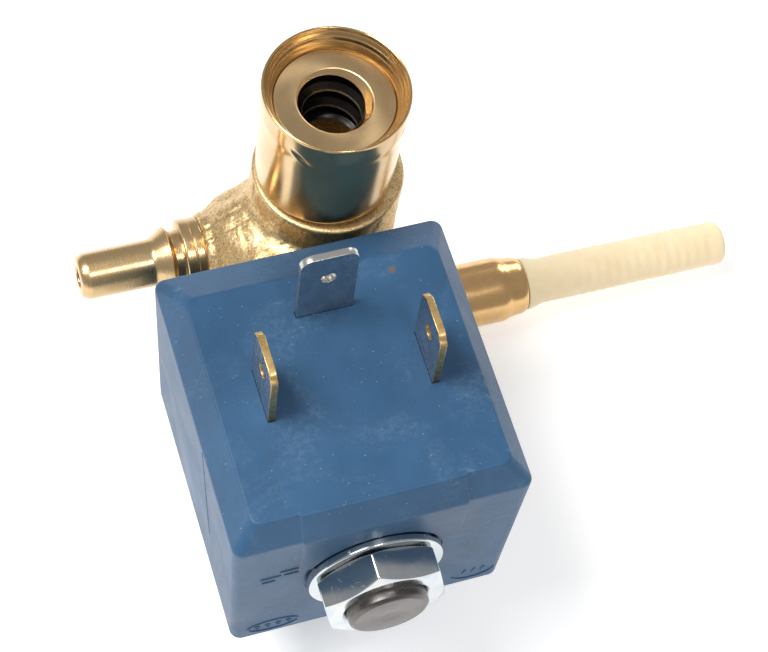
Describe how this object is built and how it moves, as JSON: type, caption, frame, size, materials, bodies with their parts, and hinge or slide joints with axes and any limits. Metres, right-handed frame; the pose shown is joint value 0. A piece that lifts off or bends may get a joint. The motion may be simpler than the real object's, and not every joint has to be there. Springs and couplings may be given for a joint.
{
  "type": "steam solenoid valve",
  "caption": "Two-way steam solenoid valve: forged brass body with a threaded boiler port, hose barb, needle regulator with a long spindle, and a moulded coil with blade terminals.",
  "frame": {"origin": "centre of the boiler port, where its female thread starts below the countersink", "axes": "+Z out of the boiler port; +X along the regulator spindle, away from the outlet barb; -Y from the port towards the coil nut"},
  "size_m": [0.0837, 0.0572, 0.0555],
  "materials": {
    "blue_plastic": "moulded glass-filled polymer, slightly scuffed",
    "turned_brass": "turned, bright",
    "forged_brass": "hot forged, sandy skin",
    "plated_steel": "bright zinc plating",
    "dark_steel": "turned ferritic stainless",
    "stainless": "turned stainless",
    "tab_metal": "tinned faces with bare brass cut edges",
    "natural_plastic": "natural heat-resistant polymer, slightly translucent",
    "bobbin_plastic": "natural nylon",
    "copper": "enamelled copper",
    "seal_rubber": "black elastomer"
  },
  "bodies": {
    "valve": {"valve_body": "forged_brass", "riser_plug": "turned_brass", "seat_plug": "turned_brass", "port_collar": "turned_brass", "port_insert": "turned_brass", "port_gasket": "seal_rubber", "outlet_barb": "turned_brass", "seat_nozzle": "turned_brass", "armature_tube": "stainless", "tube_gasket": "seal_rubber", "tube_retainer": "turned_brass", "fixed_core": "dark_steel", "shading_ring": "copper", "coil_washer": "plated_steel", "coil_nut": "plated_steel", "regulator_gland": "turned_brass"},
    "coil": {"coil_housing": "blue_plastic", "coil_bobbin": "bobbin_plastic", "coil_winding": "copper", "yoke_frame": "dark_steel", "flux_bushes": "dark_steel", "earth_tab": "tab_metal", "line_tab_left": "tab_metal", "line_tab_right": "tab_metal", "winding_leads": "copper"},
    "plunger": {"plunger": "stainless", "plunger_seal": "seal_rubber", "plunger_spring": "stainless"},
    "spindle": {"regulator_spindle": "natural_plastic", "spindle_clip": "stainless", "spindle_o_ring": "seal_rubber"},
    "needle": {"regulator_needle": "stainless"}
  },
  "joints": [
    {"name": "plunger_lift", "type": "slide", "parent": "valve", "child": "plunger", "axis": [0, -1, 0], "range_m": [0, 0.0018], "stiffness_N_per_m": 200, "springref_m": -0.006, "deforming": ["plunger_spring"]},
    {"name": "coil_swivel", "type": "hinge", "parent": "valve", "child": "coil", "pos_m": [-0.0058, -0.0259, -0.0242], "axis": [0, 1, 0], "continuous": true},
    {"name": "spindle_turn", "type": "hinge", "parent": "valve", "child": "spindle", "pos_m": [0.0285, -0.0025, -0.0463], "axis": [1, 0, 0], "range_deg": [0, 270]},
    {"name": "needle_lift", "type": "slide", "parent": "spindle", "child": "needle", "axis": [1, 0, 0], "range_m": [0, 0.0015]}
  ],
  "couplings": [
    {"joint": "spindle_turn", "follows": "needle_lift", "rad_per_m": 3141.5}
  ]
}
